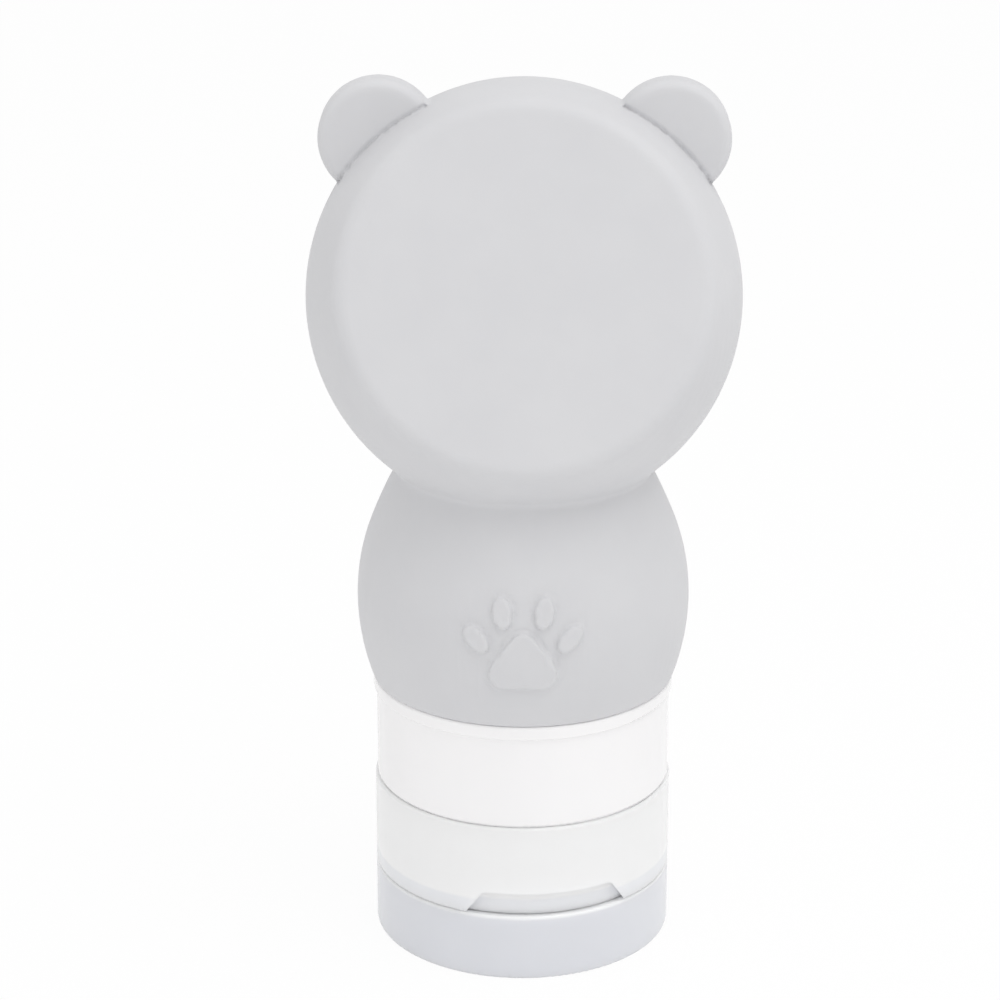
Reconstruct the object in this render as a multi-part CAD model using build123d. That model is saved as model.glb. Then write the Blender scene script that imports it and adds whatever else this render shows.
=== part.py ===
from build123d import *
import math
import os

# Squeezable silicone travel bottle in the shape of a bear, standing on its flip cap.
# Millimetres, +Z up, the bear's face towards -Y. The origin is the middle of the lid's flat foot.
# The bottle stands head up, so its mouth, neck thread and cap point down.

# Stack of heights, from the foot up
lid_height = 9.1
seam_gap = 0.15
cap_height = 12.7
collar_gap = 0.1
collar_height = 14.35

# Cap and lid shells
cap_radius = 20.0
cap_wall = 1.95
cap_mouth_round = 0.4
cap_edge_round = 0.15
cap_turn_deg = 10.5
lid_wall = 1.6
lid_plate = 1.6
lid_foot_round = 0.4
foot_rim_width = 3.5
foot_dish_depth = 0.6
lid_rim_round = 0.3

# Deck, spigot and nozzle of the cap
deck_recess = 0.9
deck_thickness = 1.5
spigot_depth = 1.25
spigot_wall = 1.4
spigot_clearance = 0.2
nozzle_radius = 6.5
nozzle_foot_gap = 2.6
nozzle_tip = 1.5
nozzle_round = 0.8
nozzle_wall = 1.3
orifice_radius = 2.4

# Thumb recess in the front of the cap, above the lid's rim
recess_bottom_half_width = 10.7
recess_top_half_width = 8.6
recess_height = 3.25
recess_depth = 0.9
recess_corner = 1.0

# Plug pin inside the lid
plug_foot_radius = 3.2
plug_shoulder_gap = 0.4
plug_clearance = 0.35
plug_entry = 1.1
plug_round = 0.6

# Hinge at the back of the cap
hinge_inset = 0.4
knuckle_radius = 1.6
knuckle_clearance = 0.25
trunnion_radius = 0.8
trunnion_clearance = 0.05
lid_knuckle_half = 2.9
lug_length = 3.0
knuckle_side_gap = 0.2

# Thread between neck and cap
thread_pitch = 3.0
thread_depth = 0.9
thread_flank_deg = 24.0
thread_flank_gap = 0.21
thread_clearance = 0.25
thread_end_gap = 0.5
thread_mouth_gap = 1.0
neck_thread_turns = 1.75

# Neck insert
neck_wall = 2.0
neck_sleeve_above_hem = 1.0
flange_thickness = 1.2
flange_overlap = 0.5
neck_end_round = 0.3
bead_height = 0.4
bead_half_length = 0.7
bead_heights_above_flange = (3.5, 7.5)

# Sealing ring and outlet valve
gasket_thickness = 1.0
seal_clearance = 0.15
valve_flange_width = 3.0
valve_flange_thickness = 1.2
valve_skin = 0.8
valve_cup_depth = 3.4
valve_dome_rise = 1.2
valve_slit_length = 5.0
valve_slit_width = 0.15
seat_wall = 1.4
seat_snap = 0.3
seat_snap_height = 0.5
retainer_thickness = 1.4
retainer_width = 2.6

# Collar ring
collar_inset = 0.3
collar_wall = 1.3
collar_lip_height = 1.9
collar_lip_proud = 0.4
collar_lip_round = 0.35
collar_rim_height = 0.7
collar_rim_gap = 0.1

# Silicone wall and its mouth
wall = 2.0
mouth_wall = 1.8
mouth_fit = 0.1
mouth_floor = 2.0
hem_round = 0.5

# Barrel: three tangent arcs from the hem, over the belly, to the crease under the head
belly_proud = 2.0
belly_above_hem = 11.1
belly_upper_arc = 28.8
shoulder_above_belly = 10.5
shoulder_arc = 67.0
crease_above_belly = 18.05
crease_round = 0.8
barrel_overlap = 1.76

# Head: a ball with two flat faces that lean together towards the top
head_radius = 28.2
face_half_depth = 15.8
face_lean_deg = 18.6
face_round = 2.5
cavity_round = 1.0

# Ears
ear_radius = 7.7
ear_reach = 28.02
ear_angle_deg = 48.5
ear_thickness = 5.0
ear_round = 1.2

# Paw print, raised on the front of the belly; its heights and places are above the hem
paw_relief = 0.6
paw_round = 0.25
pad_apex_above_hem = 14.7
pad_bottom_above_hem = 5.6
pad_corner_half_width = 6.0
pad_notch_depth = 0.9
pad_side_bulge = 0.5
pad_apex_radius = 1.6
pad_corner_radius = 2.1
pad_notch_radius = 2.0
toe_half_width = 1.2
toe_half_length = 2.0
inner_toe_place = (2.7, 16.5)
inner_toe_lean_deg = 4.0
outer_toe_place = (6.0, 12.9)
outer_toe_lean_deg = 41.0

# One overrun for all cuts and joins that reach past a surface, and how closely edges are matched
overrun = 0.3
edge_match = 0.005

# Heights worked out from the stack
cap_low = lid_height + seam_gap
cap_high = cap_low + cap_height
collar_low = cap_high + collar_gap
hem = collar_low + collar_height
deck_low = cap_low + deck_recess
deck_high = deck_low + deck_thickness
neck_end = deck_high + gasket_thickness
nozzle_low = lid_plate + nozzle_foot_gap
belly = hem + belly_above_hem
crease = belly + crease_above_belly

# Radii worked out from the fits
cap_bore = cap_radius - cap_wall
thread_crest_radius = cap_bore - thread_clearance
neck_radius = thread_crest_radius - thread_depth
lid_bore = cap_radius - lid_wall
spigot_radius = lid_bore - spigot_clearance
collar_radius = cap_radius - collar_inset
collar_bore = collar_radius - collar_wall
flange_radius = collar_bore - mouth_fit
mouth_bore = flange_radius - mouth_wall
neck_sleeve_radius = mouth_bore - mouth_fit
rim_bore = flange_radius - flange_overlap
flange_low = collar_low + collar_rim_height + collar_rim_gap
flange_high = flange_low + flange_thickness
chamber_radius = nozzle_radius - nozzle_wall
valve_flange_radius = chamber_radius + valve_flange_width
hinge_place = (cap_radius - hinge_inset, lid_height + seam_gap / 2)

# Widths of both ridges of the thread, which leave the same gap on every flank
thread_flank = math.tan(math.radians(thread_flank_deg))
thread_root_width = thread_pitch / 2 - thread_flank_gap + thread_flank * (thread_depth + thread_clearance)
thread_crest_width = thread_root_width - 2 * thread_flank * thread_depth

# The barrel leaves the hem flush with the collar's lip, and its belly stands proud of that
hem_radius = collar_radius + collar_lip_proud
belly_radius = hem_radius + belly_proud
belly_lower_arc = (belly_above_hem**2 + belly_proud**2) / (2 * belly_proud)


def turned(points):
    """A solid of revolution about Z from (radius, height) corners."""
    outline = Polyline([(r, 0, z) for r, z in points], close=True)
    return revolve(make_face(outline), Axis.Z)


def tube(outer, inner, low, high):
    """A plain ring between two radii and two heights."""
    return turned([(inner, low), (outer, low), (outer, high), (inner, high)])


def disc(radius, low, high):
    """A plain round block between two heights."""
    return Pos(0, 0, low) * Cylinder(radius, high - low, align=(Align.CENTER, Align.CENTER, Align.MIN))


def level_edges(shape, height):
    """The edges that lie level at one height."""
    found = shape.edges().filter_by(lambda e: abs(e.bounding_box().min.Z - height) < edge_match)
    return found.filter_by(lambda e: abs(e.bounding_box().max.Z - height) < edge_match)


def rings_at(shape, radius, height):
    """The circular edges of one radius at one height."""
    found = level_edges(shape, height).filter_by(GeomType.CIRCLE)
    return found.filter_by(lambda e: abs(e.radius - radius) < edge_match)


def thread_ridge(root, crest, start_height, turns):
    """One helical ridge of trapezoid section; its crest may lie outside or inside its root."""
    outward = 1 if crest > root else -1
    path = Helix(pitch=thread_pitch, height=thread_pitch * turns, radius=root)
    plane = Plane(origin=path @ 0, x_dir=(outward, 0, 0), z_dir=path % 0)
    sunk_half = thread_root_width / 2 + thread_flank * overrun
    section = Polyline(
        (-overrun, -sunk_half),
        (thread_depth, -thread_crest_width / 2),
        (thread_depth, thread_crest_width / 2),
        (-overrun, sunk_half),
        close=True,
    )
    ridge = sweep(plane * make_face(section), path=path, is_frenet=True)
    return Pos(0, 0, start_height) * ridge


def barrel_point(height, inset):
    """A point of the barrel's outline, moved in along its own normal."""
    if height <= belly:
        radius = belly_lower_arc
        centre = (belly_radius - radius, belly)
    elif height <= belly + shoulder_above_belly:
        radius = belly_upper_arc
        centre = (belly_radius - radius, belly)
    else:
        lean = math.asin(shoulder_above_belly / belly_upper_arc)
        joint = (
            belly_radius - belly_upper_arc * (1 - math.cos(lean)),
            belly + shoulder_above_belly,
        )
        radius = shoulder_arc
        centre = (joint[0] - radius * math.cos(lean), joint[1] - radius * math.sin(lean))
    rise = (height - centre[1]) / radius
    reach = radius - inset
    return centre[0] + reach * math.sqrt(1 - rise * rise), centre[1] + reach * rise


def barrel(inset, low):
    """The barrel as a solid of revolution from a low height up into the head."""
    stops = (low, belly, belly + shoulder_above_belly, crease + barrel_overlap)
    arcs = []
    for start, end in zip(stops, stops[1:]):
        points = [barrel_point(h, inset) for h in (start, (start + end) / 2, end)]
        arcs.append(ThreePointArc(*[(r, 0, z) for r, z in points]))
    foot_radius, foot = barrel_point(low, inset)
    top_radius, top = barrel_point(stops[-1], inset)
    outline = [Line((0, 0, foot), (foot_radius, 0, foot))]
    outline += arcs
    outline += [Line((top_radius, 0, top), (0, 0, top)), Line((0, 0, top), (0, 0, foot))]
    return revolve(make_face(outline), Axis.Z)


def head_height():
    """The ball's centre: its surface meets the barrel at the crease."""
    crease_radius = barrel_point(crease, 0)[0]
    return crease + math.sqrt(head_radius**2 - crease_radius**2)


def head(inset, edge_round):
    """A ball with two leaning flats whose edges are rounded."""
    middle = Vector(0, 0, head_height())
    shape = Plane(origin=middle, x_dir=(0, 0, -1), z_dir=(0, 1, 0)) * Sphere(head_radius - inset)
    lean = math.radians(face_lean_deg)
    for side in (-1, 1):
        normal = Vector(0, side * math.cos(lean), math.sin(lean))
        flat = Plane(origin=middle + normal * (face_half_depth - inset), z_dir=normal)
        shape = split(shape, flat, keep=Keep.BOTTOM)
    edges = shape.faces().filter_by(GeomType.PLANE).edges()
    return fillet(edges, edge_round)


def ear(side):
    """A round plate with rounded edges, centred on the head's outline."""
    plate = Cylinder(ear_radius, ear_thickness)
    plate = fillet(plate.edges().filter_by(GeomType.CIRCLE), ear_round)
    angle = math.radians(ear_angle_deg)
    place = Pos(
        side * ear_reach * math.cos(angle),
        0,
        head_height() + ear_reach * math.sin(angle),
    )
    return place * Rot(90, 0, 0) * plate


def pad_outline():
    """The main pad: a triangle with bulging sides, a shallow notch in its base and every corner rounded."""
    bottom = hem + pad_bottom_above_hem
    apex = (0, hem + pad_apex_above_hem)
    notch = (0, bottom + pad_notch_depth)
    left = (-pad_corner_half_width, bottom)
    right = (pad_corner_half_width, bottom)
    base = Polyline(left, notch, right)
    slope = math.atan2(pad_corner_half_width, pad_apex_above_hem - pad_bottom_above_hem)
    out = pad_side_bulge * math.cos(slope)
    up = pad_side_bulge * math.sin(slope)
    half_way = (apex[1] + bottom) / 2
    sides = []
    for corner in (left, right):
        toward = math.copysign(out, corner[0])
        middle = (corner[0] / 2 + toward, half_way + up)
        sides.append(ThreePointArc(apex, middle, corner))
    face = make_face(Curve() + [base] + sides)
    for corner, radius in (
        (apex, pad_apex_radius),
        (left, pad_corner_radius),
        (right, pad_corner_radius),
        (notch, pad_notch_radius),
    ):
        face = fillet(face.vertices().sort_by_distance(corner)[0], radius)
    return face


def paw_outlines():
    """The main pad and four toes, drawn flat on the XZ plane."""
    shapes = [pad_outline()]
    for place, lean in ((inner_toe_place, inner_toe_lean_deg), (outer_toe_place, outer_toe_lean_deg)):
        for side in (-1, 1):
            toe = Rot(0, 0, -side * lean) * Ellipse(toe_half_width, toe_half_length)
            shapes.append(Pos(side * place[0], hem + place[1]) * toe)
    return shapes


def paw_print():
    """The outlines pushed through a barrel that stands proud by the relief."""
    proud = barrel(-paw_relief, hem)
    pads = []
    for shape in paw_outlines():
        pad = extrude(Plane.XZ * shape, amount=belly_radius + 2 * paw_relief) & proud
        front = pad.faces().sort_by(Axis.Y)[0]
        pads.append(fillet(front.edges(), paw_round))
    return pads


def bead_ring(radius, height):
    """A low ring of triangular section that holds the silicone on the neck."""
    half = bead_half_length * (bead_height + overrun) / bead_height
    return turned(
        [
            (radius - overrun, height - half),
            (radius + bead_height, height),
            (radius - overrun, height + half),
        ]
    )


def bottle_body():
    """The hollow silicone moulding: head, ears, barrel, paw print and soft mouth."""
    shape = barrel(0, hem) + head(0, face_round)
    shape = fillet(level_edges(shape, crease), crease_round)
    shape = fillet(rings_at(shape, hem_radius, hem), hem_round)
    for side in (-1, 1):
        shape += ear(side)
    for pad in paw_print():
        shape += pad
    shape += disc(flange_radius, flange_high, hem + overrun)
    shape -= head(wall, cavity_round)
    shape -= barrel(wall, hem + mouth_floor)
    shape -= disc(mouth_bore, flange_high - overrun, hem + mouth_floor + wall)
    for height in bead_heights_above_flange:
        shape -= bead_ring(mouth_bore, flange_high + height)
    return shape


def collar_ring():
    """The clamp ring around the mouth, with a lip under the hem and a snap rim under the flange."""
    shape = turned(
        [
            (rim_bore, collar_low),
            (collar_radius, collar_low),
            (collar_radius, hem - collar_lip_height),
            (collar_radius + collar_lip_proud, hem - collar_lip_height),
            (collar_radius + collar_lip_proud, hem),
            (collar_bore, hem),
            (collar_bore, collar_low + collar_rim_height),
            (rim_bore, collar_low + collar_rim_height),
        ]
    )
    lip = collar_radius + collar_lip_proud
    edges = rings_at(shape, lip, hem) + rings_at(shape, lip, hem - collar_lip_height)
    edges += rings_at(shape, collar_radius, collar_low)
    return fillet(edges, collar_lip_round)


def neck_insert():
    """The rigid neck: thread below, flange in the middle, beaded sleeve inside the silicone."""
    bore = neck_radius - neck_wall
    shape = turned(
        [
            (bore, neck_end),
            (neck_radius, neck_end),
            (neck_radius, flange_low),
            (flange_radius, flange_low),
            (flange_radius, flange_high),
            (neck_sleeve_radius, flange_high),
            (neck_sleeve_radius, hem + neck_sleeve_above_hem),
            (bore, hem + neck_sleeve_above_hem),
        ]
    )
    shape = fillet(rings_at(shape, neck_radius, neck_end), neck_end_round)
    for height in bead_heights_above_flange:
        shape += bead_ring(neck_sleeve_radius, flange_high + height)
    start = neck_end + thread_end_gap + thread_root_width / 2
    return shape + thread_ridge(neck_radius, thread_crest_radius, start, neck_thread_turns)


def neck_gasket():
    """The flat sealing ring between the neck's end and the deck."""
    return tube(cap_bore - seal_clearance, neck_radius - neck_wall, deck_high, neck_end)


def thumb_recess():
    """The block that is cut from the front of the cap above the lid's rim."""
    outline = Polyline(
        (-recess_bottom_half_width, cap_low - spigot_depth),
        (-recess_bottom_half_width, cap_low),
        (-recess_top_half_width, cap_low + recess_height),
        (recess_top_half_width, cap_low + recess_height),
        (recess_bottom_half_width, cap_low),
        (recess_bottom_half_width, cap_low - spigot_depth),
        close=True,
    )
    face = make_face(outline)
    corners = face.vertices().filter_by(lambda v: v.Y > cap_low + recess_height / 2)
    face = fillet(corners, recess_corner)
    block = extrude(Plane.XZ * face, amount=cap_radius + overrun)
    depth_radius = cap_radius - recess_depth
    return block - disc(depth_radius, cap_low - 2 * spigot_depth, cap_high)


def hinge_cylinder(radius, low_x, high_x):
    """A round bar along the hinge axis."""
    bar = Cylinder(radius, high_x - low_x, align=(Align.CENTER, Align.CENTER, Align.MIN))
    return Pos(low_x, *hinge_place) * Rot(0, 90, 0) * bar


def both_sides(make, radius, near, far):
    """The same bar on both sides of the hinge's middle."""
    return make(radius, near, far) + make(radius, -far, -near)


def turn_cap(shape):
    """Turns a cap piece from its own frame to where the cap stops on the thread."""
    return Rot(0, 0, cap_turn_deg) * shape


def cap_shell():
    """Outer wall, deck, spigot, nozzle and valve seat as one turned shape."""
    spigot_low = cap_low - spigot_depth
    seat_radius = valve_flange_radius + mouth_fit
    seat_high = deck_high + valve_flange_thickness + retainer_thickness + seat_snap_height
    shape = disc(cap_radius, cap_low, cap_high)
    shape = fillet(rings_at(shape, cap_radius, cap_high), cap_mouth_round)
    shape = fillet(rings_at(shape, cap_radius, cap_low), cap_edge_round)
    shape += disc(spigot_radius, spigot_low, deck_low)
    shape -= disc(spigot_radius - spigot_wall, spigot_low, deck_low)
    shape -= disc(cap_bore, deck_high, cap_high)
    nozzle = disc(nozzle_radius, nozzle_low, deck_low + overrun)
    shape += fillet(rings_at(nozzle, nozzle_radius, nozzle_low), nozzle_round)
    shape -= disc(chamber_radius, nozzle_low + nozzle_tip, deck_high)
    shape -= disc(orifice_radius, nozzle_low, deck_high)
    snap_low = seat_high - seat_snap_height
    shape += turned(
        [
            (seat_radius, deck_high - overrun),
            (seat_radius + seat_wall, deck_high - overrun),
            (seat_radius + seat_wall, seat_high),
            (seat_radius, seat_high),
            (seat_radius - seat_snap, (seat_high + snap_low) / 2),
            (seat_radius, snap_low),
        ]
    )
    return shape


def cap_base():
    """The screw cap with its thread, thumb recess and hinge lugs."""
    shape = cap_shell() - thumb_recess()
    near = lid_knuckle_half + knuckle_side_gap
    far = near + lug_length
    relief = knuckle_radius + knuckle_clearance
    shape -= hinge_cylinder(relief, -near, near)
    shape += both_sides(hinge_cylinder, knuckle_radius, near, far)
    shape -= both_sides(hinge_cylinder, trunnion_radius + trunnion_clearance, near - overrun, far + overrun)
    start = neck_end + thread_end_gap + (thread_root_width + thread_pitch) / 2
    turns = (cap_high - thread_mouth_gap - thread_root_width / 2 - start) / thread_pitch
    shape = turn_cap(shape)
    return shape + thread_ridge(cap_bore, cap_bore - thread_depth, start, turns)


def outlet_valve():
    """The no-drip membrane: a flange, a cup and a domed skin with a cross slit."""
    cup = chamber_radius - seal_clearance
    low = deck_high - valve_cup_depth
    top = deck_high + valve_flange_thickness
    arc_rise = low + valve_dome_rise
    inner = cup - valve_skin
    outline = [
        Line((cup, 0, low), (cup, 0, deck_high)),
        Line((cup, 0, deck_high), (valve_flange_radius, 0, deck_high)),
        Line((valve_flange_radius, 0, deck_high), (valve_flange_radius, 0, top)),
        Line((valve_flange_radius, 0, top), (inner, 0, top)),
        Line((inner, 0, top), (inner, 0, low + valve_skin)),
        ThreePointArc(
            (inner, 0, low + valve_skin),
            (inner / 2, 0, low + valve_skin + valve_dome_rise * 3 / 4),
            (0, 0, arc_rise + valve_skin),
        ),
        Line((0, 0, arc_rise + valve_skin), (0, 0, arc_rise)),
        ThreePointArc(
            (0, 0, arc_rise),
            (inner / 2, 0, low + valve_dome_rise * 3 / 4),
            (inner, 0, low),
        ),
        Line((inner, 0, low), (cup, 0, low)),
    ]
    shape = revolve(make_face(outline), Axis.Z)
    slit = Box(valve_slit_length, valve_slit_width, valve_cup_depth)
    slit = Pos(0, 0, low + valve_dome_rise) * slit
    shape -= slit
    shape -= Rot(0, 0, 90) * slit
    return turn_cap(shape)


def valve_retainer():
    """The ring that holds the valve's flange on its seat."""
    low = deck_high + valve_flange_thickness
    return tube(valve_flange_radius, valve_flange_radius - retainer_width, low, low + retainer_thickness)


def plug_pin():
    """The stepped pin in the lid that closes the outlet."""
    tip_radius = orifice_radius - plug_clearance
    shoulder = nozzle_low - plug_shoulder_gap
    foot = disc(plug_foot_radius, lid_plate - overrun, shoulder)
    tip = disc(tip_radius, shoulder - overrun, nozzle_low + plug_entry)
    tip = fillet(rings_at(tip, tip_radius, nozzle_low + plug_entry), plug_round)
    return foot + tip


def flip_lid():
    """The lid, with the rim that the bottle stands on, its plug, knuckle and trunnions."""
    shape = disc(cap_radius, 0, lid_height)
    shape = fillet(rings_at(shape, cap_radius, 0), lid_foot_round)
    shape = fillet(rings_at(shape, cap_radius, lid_height), lid_rim_round)
    shape -= disc(lid_bore, lid_plate, lid_height)
    shape -= disc(cap_radius - foot_rim_width, -overrun, foot_dish_depth)
    shape += plug_pin()
    near = lid_knuckle_half + knuckle_side_gap / 2
    far = near + lug_length + knuckle_side_gap * 2
    relief = knuckle_radius + knuckle_clearance
    shape -= both_sides(hinge_cylinder, relief, near, far)
    shape += hinge_cylinder(knuckle_radius, -lid_knuckle_half, lid_knuckle_half)
    reach = lid_knuckle_half + knuckle_side_gap + lug_length
    shape += hinge_cylinder(trunnion_radius, -reach, reach)
    return turn_cap(shape)


def write_parts():
    """Writes each piece to its own file."""
    os.makedirs("parts", exist_ok=True)
    pieces = {
        "bottle_body": bottle_body,
        "collar_ring": collar_ring,
        "neck_insert": neck_insert,
        "neck_gasket": neck_gasket,
        "cap_base": cap_base,
        "outlet_valve": outlet_valve,
        "valve_retainer": valve_retainer,
        "flip_lid": flip_lid,
    }
    for name, make in pieces.items():
        export_step(make(), os.path.join("parts", name + ".step"))


write_parts()
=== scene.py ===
import math

import bpy
import numpy as np
from mathutils import Euler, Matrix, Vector

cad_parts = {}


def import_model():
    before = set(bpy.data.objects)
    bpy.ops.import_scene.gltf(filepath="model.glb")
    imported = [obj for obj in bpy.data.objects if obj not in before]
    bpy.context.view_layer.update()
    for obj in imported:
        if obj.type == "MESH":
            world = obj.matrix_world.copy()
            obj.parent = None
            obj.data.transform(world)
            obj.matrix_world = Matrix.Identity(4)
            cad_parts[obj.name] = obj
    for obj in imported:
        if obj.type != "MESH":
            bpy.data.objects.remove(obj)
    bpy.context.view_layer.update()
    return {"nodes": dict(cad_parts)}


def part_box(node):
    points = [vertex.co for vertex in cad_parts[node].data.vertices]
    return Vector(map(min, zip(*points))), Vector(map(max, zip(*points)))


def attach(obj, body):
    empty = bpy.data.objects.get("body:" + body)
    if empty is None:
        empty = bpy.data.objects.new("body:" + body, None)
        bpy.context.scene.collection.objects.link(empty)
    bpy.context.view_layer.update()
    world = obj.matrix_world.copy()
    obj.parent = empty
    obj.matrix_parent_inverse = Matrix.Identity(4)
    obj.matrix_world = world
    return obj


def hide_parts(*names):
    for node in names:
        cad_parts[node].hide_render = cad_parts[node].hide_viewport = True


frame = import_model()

# Looks of a bear-shaped silicone travel bottle, in metres, with +Z up and the face towards -Y

MM = 0.001

# Camera, fitted to the photograph's ellipses
CAMERA_DISTANCE = 380 * MM
CAMERA_HEIGHT = 195.63 * MM
CAMERA_PITCH_DEG = 19.588
FRAME_PX = 1000
FOCAL_PX = 3048.4
AXIS_PX = 523.5
CAMERA_ROLL_DEG = 0.2
SENSOR_MM = 36

# Silicone moulding, remeshed from its solid; only its cavity is thinned out afterwards
SKIN_VOXEL = 0.3 * MM
SKIN_SMOOTH_ROUNDS = 2
SMOOTH_FACTOR = 0.5
CAVITY_KEPT_SHARE = 0.08
MOUTH_TOP = 40 * MM
HEAD_CENTRE = (0, 0, 88.34 * MM)
HEAD_LOW = 62 * MM
HEAD_RADIUS = 28.2 * MM
HEAD_WALL = 2.0 * MM

# Grooves where the ears leave the head
EAR_REACH = 28.02 * MM
EAR_ANGLE_DEG = 48.5
EAR_RADIUS = 7.7 * MM
EAR_HALF_THICKNESS = 2.5 * MM
GROOVE_WIDTH = 0.6 * MM
GROOVE_DEPTH = 1.1 * MM
GROOVE_FADE = 0.3 * MM

# Paw print, whose edges are drawn out as the mould leaves them
PAW_CENTRE = (0, 48.5 * MM)
PAW_RADIUS = 11 * MM
PAW_FADE = 2 * MM
PAW_BLUR_ROUNDS = 16
PAW_SHARPEN_SHARE = 1.8

# How near to the collar's lower end a corner lies that is drawn down to the cap
SEAM_REACH = 0.05 * MM

# How far red, green and blue light soak in, where they do so alike
EVEN_REACH = (1.0, 1.0, 1.0)

# Refraction of the two kinds of material
SILICONE_IOR = 1.41
PLASTIC_IOR = 1.49

# Noise values between which a material's two tints blend
TINT_LOW = 0.3
TINT_HIGH = 0.7

# Noise patterns: cycles per metre, layers of detail, their roughness and the stretch along each axis
SILICONE_MOTTLE = (90, 3.0, 0.55)
SILICONE_SHINE = (600, 3.0)
SMALL_MOTTLE = (240, 3.0)
SMALL_SHINE = (900, 2.0)
WHITE_FLOW = (70, 3.0, 0.5, (1, 1, 0.35))
WHITE_SHINE = (420, 3.0)
MILKY_FLOW = (80, 3.0, 0.5, (1, 1, 0.4))
MILKY_SHINE = (350, 3.0)

# Relief, coarse to fine: cycles per metre, height and strength of each layer
SILICONE_RELIEF = [(260, 0.05 * MM, 0.08), (5200, 0.012 * MM, 0.25)]
SMALL_RELIEF = [(4000, 0.008 * MM, 0.2)]
WHITE_RELIEF = [(120, 0.06 * MM, 0.1), (3000, 0.006 * MM, 0.2)]
MILKY_RELIEF = [(110, 0.08 * MM, 0.12), (2600, 0.005 * MM, 0.15)]

# Silicone moulding: the two greys of its mottle, its sheen, and how light soaks in
SILICONE_DARK = (0.655, 0.655, 0.672)
SILICONE_PALE = (0.675, 0.675, 0.69)
SILICONE_ROUGHNESS = (0.5, 0.62)
SILICONE_SHEEN = 0.08
SILICONE_SHEEN_ROUGHNESS = 0.6
SILICONE_SOAK = 0.12
SILICONE_DEPTH = 1.2 * MM
SILICONE_REACH = (1.0, 0.95, 0.9)

# Small silicone pieces: greys of the ring and the valve, and how light soaks in
GASKET_GREY = 0.82
GASKET_ROUGHNESS = 0.5
VALVE_GREY = 0.8
VALVE_ROUGHNESS = 0.4
SMALL_SOAK = 0.3
SMALL_DEPTH = 1.0 * MM
SMALL_DARK_SHARE = 0.97
SMALL_ROUGHNESS_SPREAD = (-0.05, 0.05)

# White plastic: colour, roughness and soaked share of each piece, and what they have in common
COLLAR_LOOK = {"colour": (0.96, 0.95, 0.955), "roughness": 0.22, "milk": 0.1}
NECK_LOOK = {"colour": (0.95, 0.95, 0.955), "roughness": 0.3, "milk": 0.0}
RETAINER_LOOK = {"colour": (0.86, 0.86, 0.87), "roughness": 0.35, "milk": 0.1}
WHITE_DEPTH = 2.0 * MM
WHITE_DARK_SHARE = 0.975
WHITE_ROUGHNESS_SPREAD = (-0.04, 0.05)

# Milky plastic of the cap and the lid: how light soaks in, the colours of their walls, and zones of
# painted light and shade
MILKY_ROUGHNESS = 0.24
MILKY_ROUGHNESS_SPREAD = (-0.03, 0.04)
MILKY_DARK_SHARE = 0.98
MILK_DEPTH = 1.5 * MM
# The cap's frosted plastic, painted lighter than the plastic itself, as painted light of the white neck
# seen through the wall
CAP_WALL_PAINTED_LIGHT = (0.97, 0.973, 0.982)
# Painted shade on the cap's band below its deck, darker and bluer where no white neck shows through, and
# how softly it fades in
CAP_LOW_PAINTED_SHADE = (0.85, 0.86, 0.885)
CAP_PAINTED_SHADE_BLUR = 0.6 * MM
LID_WALL = (0.765, 0.775, 0.81)
# Painted highlight along the lid's rim, up to the rim's top height, and how softly it fades in
LID_RIM_PAINTED_HIGHLIGHT = (0.92, 0.925, 0.94)
LID_TOP = 9.1 * MM
LID_HIGHLIGHT_BLUR = 0.6 * MM

# Stage and light
FLOOR_HALF = 4.0
FLOOR_GREY = 0.95
FLOOR_GLOW_SHARE = 0.93
WORLD_STRENGTH = 0.775
AIM_HEIGHT = 60 * MM
KEY = {"place": (215 * MM, -170 * MM, 705 * MM), "size": 500 * MM, "watts": 1.5}
LEFT = {"place": (-670 * MM, -200 * MM, 200 * MM), "size": 500 * MM, "watts": 0.15}
FRONT = {"place": (60 * MM, -690 * MM, 60 * MM), "size": 500 * MM, "watts": 0.41}


def new_object(name, mesh):
    """Links a new object with this mesh."""
    piece = bpy.data.objects.new(name, mesh)
    bpy.context.scene.collection.objects.link(piece)
    return piece


def shade_smooth(mesh):
    """Smooth shading on every face."""
    mesh.polygons.foreach_set("use_smooth", [True] * len(mesh.polygons))


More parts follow.
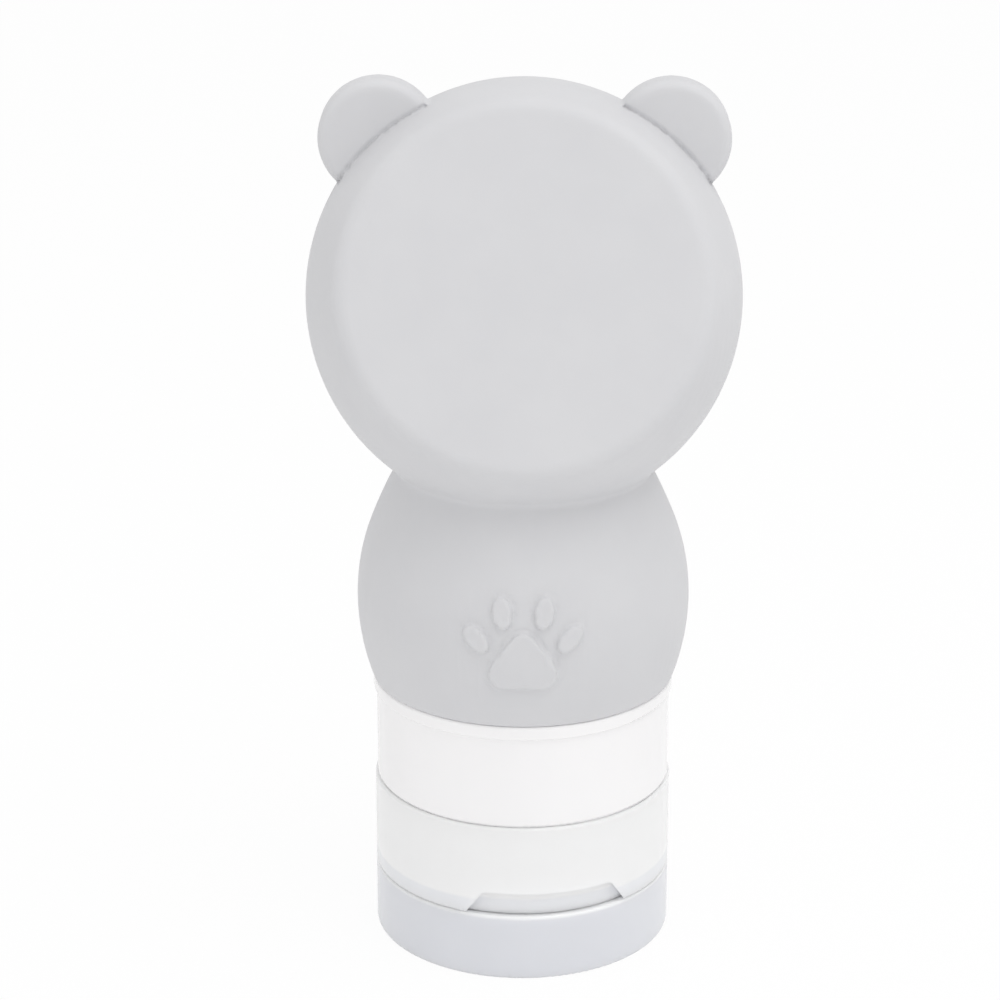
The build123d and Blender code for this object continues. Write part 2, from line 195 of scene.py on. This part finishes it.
class Shader:
    """A small helper to build one node material."""

    def __init__(self, name):
        self.material = bpy.data.materials.new(name)
        self.material.use_nodes = True
        self.tree = self.material.node_tree
        self.tree.nodes.clear()
        self.output = self.add("ShaderNodeOutputMaterial")
        self.coords = self.add("ShaderNodeTexCoord").outputs["Object"]

    def add(self, kind, **settings):
        node = self.tree.nodes.new(kind)
        for key, value in settings.items():
            setattr(node, key, value)
        return node

    def link(self, source, target):
        self.tree.links.new(source, target)

    def surface(self, **values):
        """The Principled shader with its plain values set on its sockets."""
        shader = self.add("ShaderNodeBsdfPrincipled")
        for key, value in values.items():
            shader.inputs[key.replace("_", " ")].default_value = value
        self.link(shader.outputs["BSDF"], self.output.inputs["Surface"])
        return shader

    def noise(self, scale, detail=2.0, roughness=0.5, stretch=None):
        """Fractal noise in object space."""
        node = self.add("ShaderNodeTexNoise")
        node.inputs["Scale"].default_value = scale
        node.inputs["Detail"].default_value = detail
        node.inputs["Roughness"].default_value = roughness
        source = self.coords
        if stretch:
            mapping = self.add("ShaderNodeMapping")
            mapping.inputs["Scale"].default_value = stretch
            self.link(source, mapping.inputs["Vector"])
            source = mapping.outputs["Vector"]
        self.link(source, node.inputs["Vector"])
        return node.outputs["Fac"]

    def tint(self, pattern, dark, pale):
        """Two tints that blend into each other by a noise pattern."""
        node = self.add("ShaderNodeValToRGB")
        stops = [(TINT_LOW, dark), (TINT_HIGH, pale)]
        for element, (place, colour) in zip(node.color_ramp.elements, stops):
            element.position = place
            element.color = (*colour, 1)
        self.link(self.noise(*pattern), node.inputs["Fac"])
        return node.outputs["Color"]

    def shine(self, shader, pattern, low, high):
        """Roughness that wanders from low to high by a noise pattern."""
        node = self.add("ShaderNodeMapRange")
        node.inputs["To Min"].default_value = low
        node.inputs["To Max"].default_value = high
        self.link(self.noise(*pattern), node.inputs["Value"])
        self.link(node.outputs["Result"], shader.inputs["Roughness"])

    def step(self, value, start, end):
        """0 before the start, 1 past the end, smooth between; the end may be the smaller one."""
        node = self.add("ShaderNodeMapRange", interpolation_type="SMOOTHSTEP")
        node.inputs["From Min"].default_value = start
        node.inputs["From Max"].default_value = end
        self.link(value, node.inputs["Value"])
        return node.outputs["Result"]

    def blend(self, factor, first, second):
        """The first colour where the factor is 0, the second where it is 1."""
        node = self.add("ShaderNodeMix", data_type="RGBA")
        self.link(factor, node.inputs["Factor"])
        self.link(first, node.inputs["A"])
        self.link(second, node.inputs["B"])
        return node.outputs["Result"]

    def relief(self, shader, layers):
        """Bump layers, each on top of the one before."""
        normal = None
        for scale, height, strength in layers:
            node = self.add("ShaderNodeBump")
            node.inputs["Distance"].default_value = height
            node.inputs["Strength"].default_value = strength
            self.link(self.noise(scale), node.inputs["Height"])
            if normal:
                self.link(normal, node.inputs["Normal"])
            normal = node.outputs["Normal"]
        self.link(normal, shader.inputs["Normal"])


def spread(middle, ends):
    """The lowest and the highest value round a middle one."""
    return [middle + end for end in ends]


def darker(colour, share):
    """A share of a colour."""
    return tuple(share * channel for channel in colour)


def silicone():
    """Pale grey matt silicone with a faint mottle and a fine moulded grain."""
    s = Shader("silicone_grey")
    shader = s.surface(
        IOR=SILICONE_IOR,
        Subsurface_Weight=SILICONE_SOAK,
        Subsurface_Scale=SILICONE_DEPTH,
        Subsurface_Radius=SILICONE_REACH,
        Sheen_Weight=SILICONE_SHEEN,
        Sheen_Roughness=SILICONE_SHEEN_ROUGHNESS,
    )
    s.link(s.tint(SILICONE_MOTTLE, SILICONE_DARK, SILICONE_PALE), shader.inputs["Base Color"])
    s.shine(shader, SILICONE_SHINE, *SILICONE_ROUGHNESS)
    s.relief(shader, SILICONE_RELIEF)
    return s.material


def white_plastic(name, colour, roughness, milk):
    """Moulded white plastic with faint flow marks and a satin grain."""
    s = Shader(name)
    shader = s.surface(
        IOR=PLASTIC_IOR, Subsurface_Weight=milk, Subsurface_Scale=WHITE_DEPTH, Subsurface_Radius=EVEN_REACH
    )
    s.link(s.tint(WHITE_FLOW, darker(colour, WHITE_DARK_SHARE), colour), shader.inputs["Base Color"])
    s.shine(shader, WHITE_SHINE, *spread(roughness, WHITE_ROUGHNESS_SPREAD))
    s.relief(shader, WHITE_RELIEF)
    return s.material


def milky_plastic(name, plain, painted_tint, zone):
    """Frosted plastic that light soaks into; a second tint of painted light and shade comes in over a zone
    of heights.
    """
    s = Shader(name)
    shader = s.surface(
        IOR=PLASTIC_IOR, Subsurface_Weight=1.0, Subsurface_Scale=MILK_DEPTH, Subsurface_Radius=EVEN_REACH
    )
    tints = [s.tint(MILKY_FLOW, darker(colour, MILKY_DARK_SHARE), colour) for colour in (plain, painted_tint)]
    height = s.add("ShaderNodeSeparateXYZ")
    s.link(s.coords, height.inputs["Vector"])
    s.link(s.blend(s.step(height.outputs["Z"], *zone), *tints), shader.inputs["Base Color"])
    s.shine(shader, MILKY_SHINE, *spread(MILKY_ROUGHNESS, MILKY_ROUGHNESS_SPREAD))
    s.relief(shader, MILKY_RELIEF)
    return s.material


def soft_silicone(name, grey, roughness):
    """Small inner silicone pieces: ring and valve."""
    s = Shader(name)
    shader = s.surface(IOR=SILICONE_IOR, Subsurface_Weight=SMALL_SOAK, Subsurface_Scale=SMALL_DEPTH)
    colour = (grey,) * 3
    s.link(s.tint(SMALL_MOTTLE, darker(colour, SMALL_DARK_SHARE), colour), shader.inputs["Base Color"])
    s.shine(shader, SMALL_SHINE, *spread(roughness, SMALL_ROUGHNESS_SPREAD))
    s.relief(shader, SMALL_RELIEF)
    return s.material


def dress(node, material):
    """Gives a CAD node its finish."""
    thing = frame["nodes"][node]
    for entry in thing.material_slots:
        entry.material = material


def vectors(data, field):
    """One row of three numbers for each element."""
    rows = np.empty(3 * len(data))
    data.foreach_get(field, rows)
    return rows.reshape(-1, 3)


def evaluated_mesh(piece):
    """A copy of the mesh as its modifiers leave it."""
    bpy.context.view_layer.update()
    return bpy.data.meshes.new_from_object(piece.evaluated_get(bpy.context.evaluated_depsgraph_get()))


def apply_modifiers(piece):
    """Replaces the mesh by what its modifiers make of it."""
    shaped = evaluated_mesh(piece)
    piece.modifiers.clear()
    piece.data = shaped


def soften(piece, rounds):
    """Adds a smoothing of so many rounds."""
    smooth = piece.modifiers.new("smooth", "SMOOTH")
    smooth.factor = SMOOTH_FACTOR
    smooth.iterations = rounds


def remeshed(source):
    """The solid's surface as even small quads, a little softened."""
    piece = new_object("silicone_bottle", source.data.copy())
    remesh = piece.modifiers.new("remesh", "REMESH")
    remesh.mode = "VOXEL"
    remesh.voxel_size = SKIN_VOXEL
    soften(piece, SKIN_SMOOTH_ROUNDS)
    apply_modifiers(piece)
    return piece


def sharpen_paw(piece):
    """Draws the paw print's edges out, away from a blurred copy of the skin."""
    soften(piece, PAW_BLUR_ROUNDS)
    blurred = vectors(evaluated_mesh(piece).vertices, "co")
    piece.modifiers.clear()
    places = vectors(piece.data.vertices, "co")
    from_paw = np.linalg.norm(places[:, ::2] - PAW_CENTRE, axis=1)
    share = np.clip((PAW_RADIUS - from_paw) / PAW_FADE, 0, 1) * (places[:, 1] < 0)
    places += (PAW_SHARPEN_SHARE * share)[:, None] * (places - blurred)
    piece.data.vertices.foreach_set("co", places.ravel())
    piece.data.update()


def thin_cavity(piece):
    """Fewer faces inside the hollow, which nobody sees from outside."""
    places = vectors(piece.data.vertices, "co")
    normals = vectors(piece.data.vertices, "normal")
    centre = np.where(places[:, 2:] > HEAD_LOW, HEAD_CENTRE, places * (0, 0, 1))
    outward = places - centre
    inside = (normals * outward).sum(axis=1) < 0
    inside &= np.linalg.norm(outward, axis=1) < HEAD_RADIUS - HEAD_WALL / 2
    inside &= places[:, 2] > MOUTH_TOP
    group = piece.vertex_groups.new(name="cavity")
    group.add(np.flatnonzero(inside).tolist(), 1.0, "REPLACE")
    thin = piece.modifiers.new("thin", "DECIMATE")
    thin.ratio = 1 - inside.mean() * (1 - CAVITY_KEPT_SHARE)
    thin.vertex_group = group.name
    apply_modifiers(piece)


def carve_ear_grooves(mesh):
    """A narrow groove on both faces of each ear, right beside the head's ball."""
    places = vectors(mesh.vertices, "co")
    outside = np.linalg.norm(places - HEAD_CENTRE, axis=1) - HEAD_RADIUS
    angle = math.radians(EAR_ANGLE_DEG)
    middle = (EAR_REACH * math.cos(angle), HEAD_CENTRE[2] + EAR_REACH * math.sin(angle))
    from_ear = np.linalg.norm(np.abs(places[:, ::2]) - middle, axis=1)
    off_face = np.abs(places[:, 1]) - EAR_HALF_THICKNESS
    share = np.clip(1 - np.abs(outside) / GROOVE_WIDTH, 0, 1)
    share *= np.clip((EAR_RADIUS - from_ear) / GROOVE_FADE, 0, 1)
    share *= np.clip(1 - off_face / GROOVE_FADE, 0, 1)
    places[:, 1] -= np.sign(places[:, 1]) * np.minimum(share * GROOVE_DEPTH, np.abs(places[:, 1]) / 2)
    mesh.vertices.foreach_set("co", places.ravel())
    mesh.update()


def silicone_body():
    """The silicone moulding, with every edge softened as a mould leaves it."""
    piece = remeshed(frame["nodes"]["bottle_body"])
    sharpen_paw(piece)
    thin_cavity(piece)
    carve_ear_grooves(piece.data)
    piece.data.materials.clear()
    piece.data.materials.append(silicone())
    shade_smooth(piece.data)
    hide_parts("bottle_body")
    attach(piece, "bottle")


def collar():
    """The collar ring, with its lower end drawn down to the cap so that their gap shows less."""
    mesh = frame["nodes"]["collar_ring"].data.copy()
    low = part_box("collar_ring")[0][2]
    places = vectors(mesh.vertices, "co")
    places[places[:, 2] < low + SEAM_REACH, 2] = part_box("cap_base")[1][2]
    mesh.vertices.foreach_set("co", places.ravel())
    mesh.update()
    mesh.materials.clear()
    mesh.materials.append(white_plastic("collar_plastic", **COLLAR_LOOK))
    piece = new_object("collar", mesh)
    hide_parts("collar_ring")
    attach(piece, "bottle")


def finishes():
    """Materials of the hard pieces, which keep their CAD shapes."""
    dress("neck_insert", white_plastic("neck_plastic", **NECK_LOOK))
    dress("neck_gasket", soft_silicone("gasket_silicone", GASKET_GREY, GASKET_ROUGHNESS))
    dress("outlet_valve", soft_silicone("valve_silicone", VALVE_GREY, VALVE_ROUGHNESS))
    dress("valve_retainer", white_plastic("retainer_plastic", **RETAINER_LOOK))
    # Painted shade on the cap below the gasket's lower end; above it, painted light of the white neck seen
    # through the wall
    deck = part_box("neck_gasket")[0][2]
    cap_shade_zone = (deck, deck - CAP_PAINTED_SHADE_BLUR)
    # Painted highlight on the lid's rim, fading in below its top
    rim_highlight_zone = (LID_TOP - LID_HIGHLIGHT_BLUR, LID_TOP)
    dress("cap_base", milky_plastic("cap_plastic", CAP_WALL_PAINTED_LIGHT, CAP_LOW_PAINTED_SHADE, cap_shade_zone))
    dress("flip_lid", milky_plastic("lid_plastic", LID_WALL, LID_RIM_PAINTED_HIGHLIGHT, rim_highlight_zone))


def floor():
    """A plain pale floor that shows almost white and keeps the soft shadow."""
    half = FLOOR_HALF
    mesh = bpy.data.meshes.new("floor")
    corners = [(-half, -half, 0), (half, -half, 0), (half, half, 0), (-half, half, 0)]
    mesh.from_pydata(corners, [], [(0, 1, 2, 3)])
    piece = new_object("floor", mesh)
    s = Shader("floor_white")
    diffuse = s.add("ShaderNodeBsdfDiffuse")
    diffuse.inputs["Color"].default_value = (FLOOR_GREY, FLOOR_GREY, FLOOR_GREY, 1)
    glow = s.add("ShaderNodeEmission")
    mixed = s.add("ShaderNodeMixShader")
    paths = s.add("ShaderNodeLightPath")
    seen = s.add("ShaderNodeMath", operation="MAXIMUM")
    seen_too = s.add("ShaderNodeMath", operation="MAXIMUM")
    share = s.add("ShaderNodeMath", operation="MULTIPLY")
    share.inputs[1].default_value = FLOOR_GLOW_SHARE
    s.link(paths.outputs["Is Camera Ray"], seen.inputs[0])
    s.link(paths.outputs["Is Glossy Ray"], seen.inputs[1])
    s.link(seen.outputs[0], seen_too.inputs[0])
    s.link(paths.outputs["Is Transmission Ray"], seen_too.inputs[1])
    s.link(seen_too.outputs[0], share.inputs[0])
    s.link(share.outputs[0], mixed.inputs["Fac"])
    s.link(diffuse.outputs[0], mixed.inputs[1])
    s.link(glow.outputs[0], mixed.inputs[2])
    s.link(mixed.outputs[0], s.output.inputs["Surface"])
    mesh.materials.append(s.material)


def world():
    """Even white surroundings, pure white where they are seen."""
    scene = bpy.context.scene
    scene.world = bpy.data.worlds.new("studio")
    scene.world.use_nodes = True
    tree = scene.world.node_tree
    tree.nodes.clear()
    output = tree.nodes.new("ShaderNodeOutputWorld")
    background = tree.nodes.new("ShaderNodeBackground")
    background.inputs["Color"].default_value = (1, 1, 1, 1)
    paths = tree.nodes.new("ShaderNodeLightPath")
    level = tree.nodes.new("ShaderNodeMapRange")
    level.inputs["To Min"].default_value = WORLD_STRENGTH
    level.inputs["To Max"].default_value = 1.0
    tree.links.new(paths.outputs["Is Camera Ray"], level.inputs["Value"])
    tree.links.new(level.outputs["Result"], background.inputs["Strength"])
    tree.links.new(background.outputs[0], output.inputs["Surface"])


def lamp(name, settings):
    """A soft square lamp aimed at the middle of the object."""
    light = bpy.data.lights.new(name, "AREA")
    light.shape = "SQUARE"
    light.size = settings["size"]
    light.energy = settings["watts"]
    thing = bpy.data.objects.new(name, light)
    bpy.context.scene.collection.objects.link(thing)
    thing.location = settings["place"]
    aim = Vector((0, 0, AIM_HEIGHT)) - thing.location
    thing.rotation_euler = aim.to_track_quat("-Z", "Y").to_euler()


def lamps():
    """A large key from above on the right, and weak lamps on the left and in front."""
    lamp("key", KEY)
    lamp("left", LEFT)
    lamp("front", FRONT)


def camera():
    """The photograph's viewpoint."""
    lens = bpy.data.cameras.new("camera")
    lens.sensor_width = SENSOR_MM
    lens.lens = FOCAL_PX / FRAME_PX * SENSOR_MM
    lens.shift_x = (FRAME_PX / 2 - AXIS_PX) / FRAME_PX
    lens.clip_start = 10 * MM
    thing = bpy.data.objects.new("camera", lens)
    bpy.context.scene.collection.objects.link(thing)
    thing.location = (0, -CAMERA_DISTANCE, CAMERA_HEIGHT)
    tilt = Euler((math.radians(90 - CAMERA_PITCH_DEG), 0, 0)).to_matrix()
    roll = Euler((0, 0, math.radians(CAMERA_ROLL_DEG))).to_matrix()
    thing.rotation_euler = (tilt @ roll).to_euler()
    bpy.context.scene.camera = thing


silicone_body()
collar()
finishes()
floor()
world()
lamps()
camera()
bpy.context.scene.view_settings.view_transform = "Standard"
